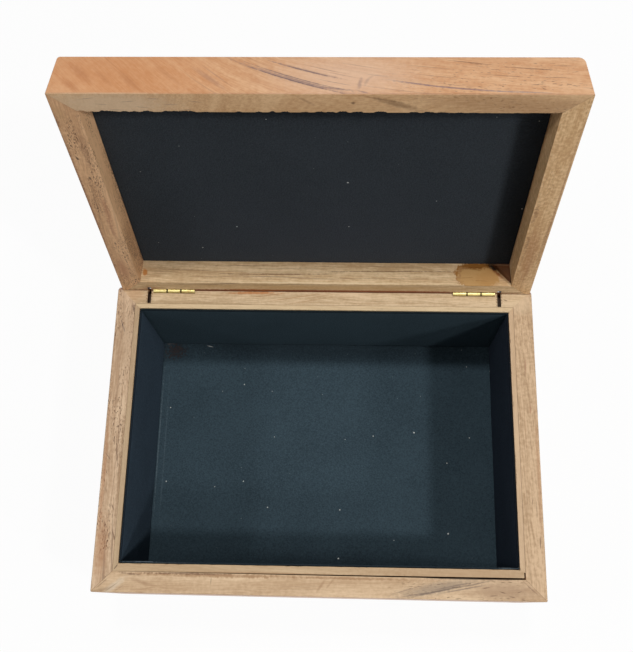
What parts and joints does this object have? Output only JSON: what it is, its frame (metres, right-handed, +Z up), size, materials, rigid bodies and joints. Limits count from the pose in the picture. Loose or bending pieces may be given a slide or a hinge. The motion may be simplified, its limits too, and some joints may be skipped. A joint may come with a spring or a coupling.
{
  "type": "inlaid wooden box",
  "caption": "Rectangular wooden box with a mitred body, a hinged shallow lid with an inlaid top, thin liner boards inside and dark felt lining, for keepsakes or jewellery.",
  "frame": {"origin": "middle of the underside of the base, on the surface that the box stands on", "axes": "+Z up, +X to the right as the user faces the box, +Y to the back, where the hinges are"},
  "size_m": [0.25, 0.2337, 0.2552],
  "materials": {
    "base_wood": "satin varnish",
    "lid_wood": "satin varnish",
    "liner_wood": "raw, sanded",
    "panel_wood": "satin varnish",
    "felt": "short matt pile",
    "brass": "bright",
    "inlay_light": "satin varnish",
    "inlay_dark": "satin varnish"
  },
  "bodies": {
    "base": {"base_back_wall": "base_wood", "base_floor_panel": "panel_wood", "base_front_wall": "base_wood", "base_left_wall": "base_wood", "base_right_wall": "base_wood", "felt_back": "felt", "felt_floor": "felt", "felt_front": "felt", "felt_left": "felt", "felt_right": "felt", "left_hinge_base_leaf": "brass", "left_hinge_pin": "brass", "liner_back": "liner_wood", "liner_front": "liner_wood", "liner_left": "liner_wood", "liner_right": "liner_wood", "right_hinge_base_leaf": "brass", "right_hinge_pin": "brass"},
    "lid": {"inlay_border_back": "inlay_light", "inlay_border_front": "inlay_light", "inlay_border_left": "inlay_light", "inlay_border_right": "inlay_light", "inlay_corner_diamonds": "inlay_dark", "inlay_octagon": "inlay_light", "inlay_star": "inlay_dark", "left_hinge_lid_leaf": "brass", "lid_back_rail": "lid_wood", "lid_felt": "felt", "lid_front_rail": "lid_wood", "lid_left_rail": "lid_wood", "lid_right_rail": "lid_wood", "lid_top_panel": "panel_wood", "right_hinge_lid_leaf": "brass"}
  },
  "joints": [
    {"name": "lid_hinge", "type": "hinge", "parent": "base", "child": "lid", "pos_m": [0, 0.086, 0.08415], "axis": [1, 0, 0], "range_deg": [0, 102]}
  ]
}
